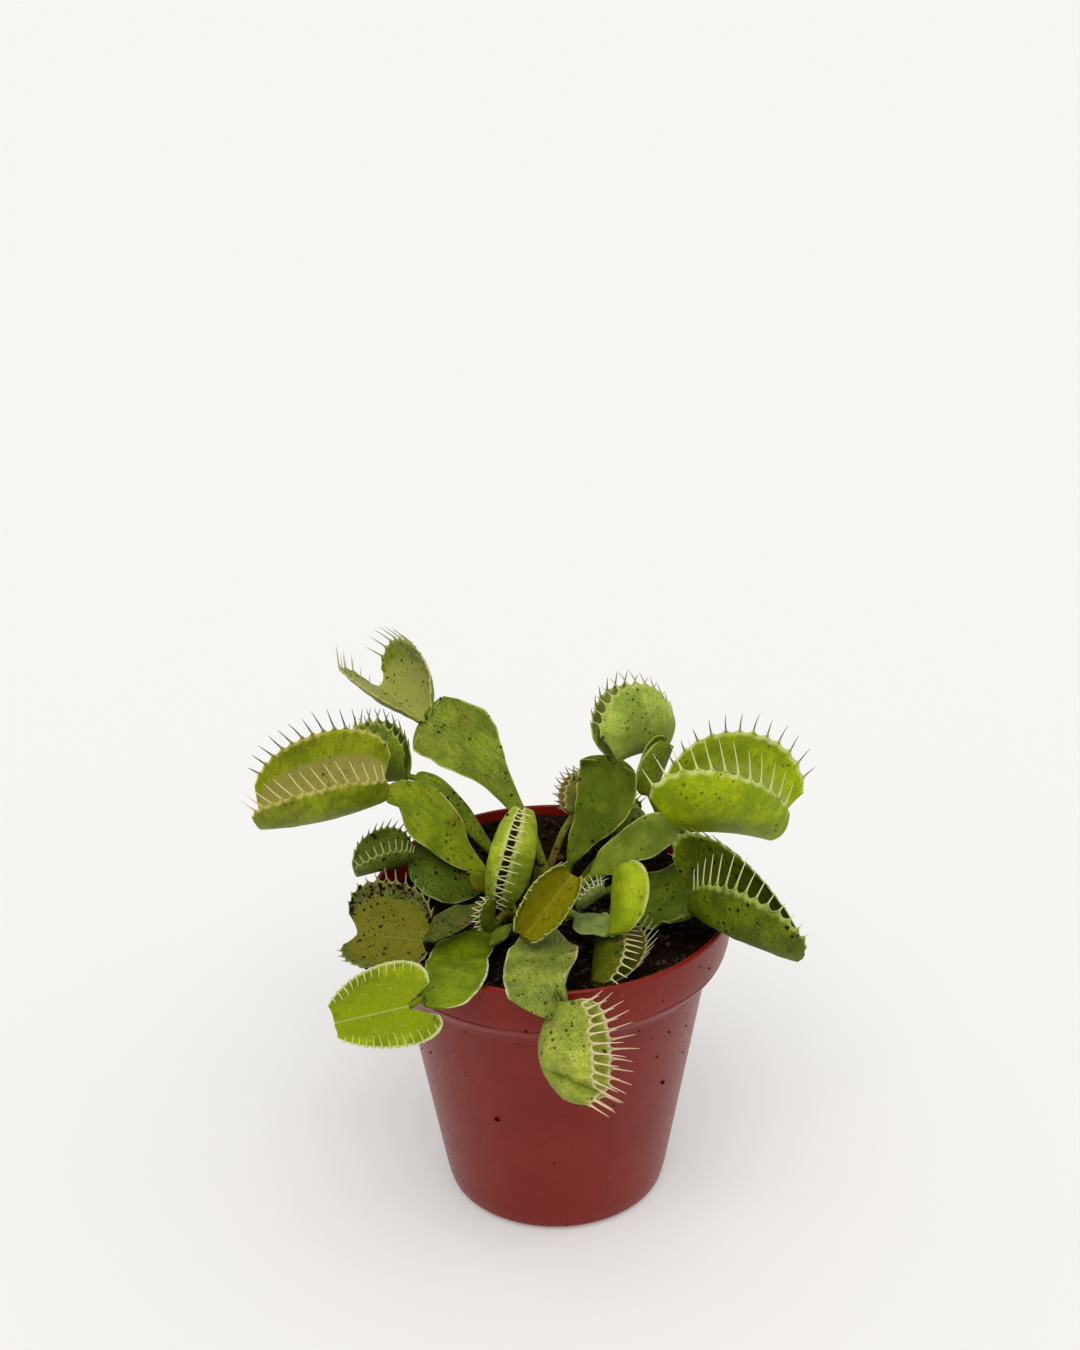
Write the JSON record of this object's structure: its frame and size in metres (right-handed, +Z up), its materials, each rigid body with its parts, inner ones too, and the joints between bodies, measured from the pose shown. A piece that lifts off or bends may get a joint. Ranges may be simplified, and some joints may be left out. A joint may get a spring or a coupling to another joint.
{
  "type": "potted venus flytrap",
  "caption": "Venus flytrap with toothed snap traps on broad winged leaf stalks, in a small tapered nursery pot filled with dark peat.",
  "frame": {"origin": "centre of the pot's flat underside", "axes": "+Z up along the pot's axis, +X to the right and +Y away from the viewer of the pictured side"},
  "size_m": [0.1349, 0.1233, 0.1284],
  "materials": {
    "pot_plastic": "semi-gloss, injection moulded",
    "peat": "dull, crumbly",
    "leaf_green": "waxy, semi-matte",
    "leaf_bright": "waxy, semi-matte",
    "leaf_pale": "waxy, semi-matte",
    "leaf_dark": "waxy, semi-matte",
    "leaf_olive": "waxy, semi-matte"
  },
  "bodies": {
    "root": {"pot": "pot_plastic", "soil": "peat", "leaf_high_left": "leaf_green", "leaf_wide_left": "leaf_green", "leaf_back_left": "leaf_green", "leaf_dark_left": "leaf_dark", "leaf_olive_left": "leaf_olive", "leaf_bright_left": "leaf_bright", "leaf_front_drooping": "leaf_pale", "leaf_tall_right": "leaf_green", "leaf_big_right": "leaf_bright", "leaf_young_closed": "leaf_bright", "leaf_low_right": "leaf_dark", "leaf_low_front": "leaf_olive", "leaf_centre_upright": "leaf_green", "leaf_centre_leaning": "leaf_olive", "leaf_small_left": "leaf_dark", "leaf_tip_left": "leaf_pale", "leaf_tip_front": "leaf_dark", "shoot_centre": "leaf_pale", "leaf_behind_tall": "leaf_pale", "leaf_between_right": "leaf_dark", "leaf_back_right": "leaf_green", "leaf_small_centre": "leaf_green"}
  },
  "joints": []
}
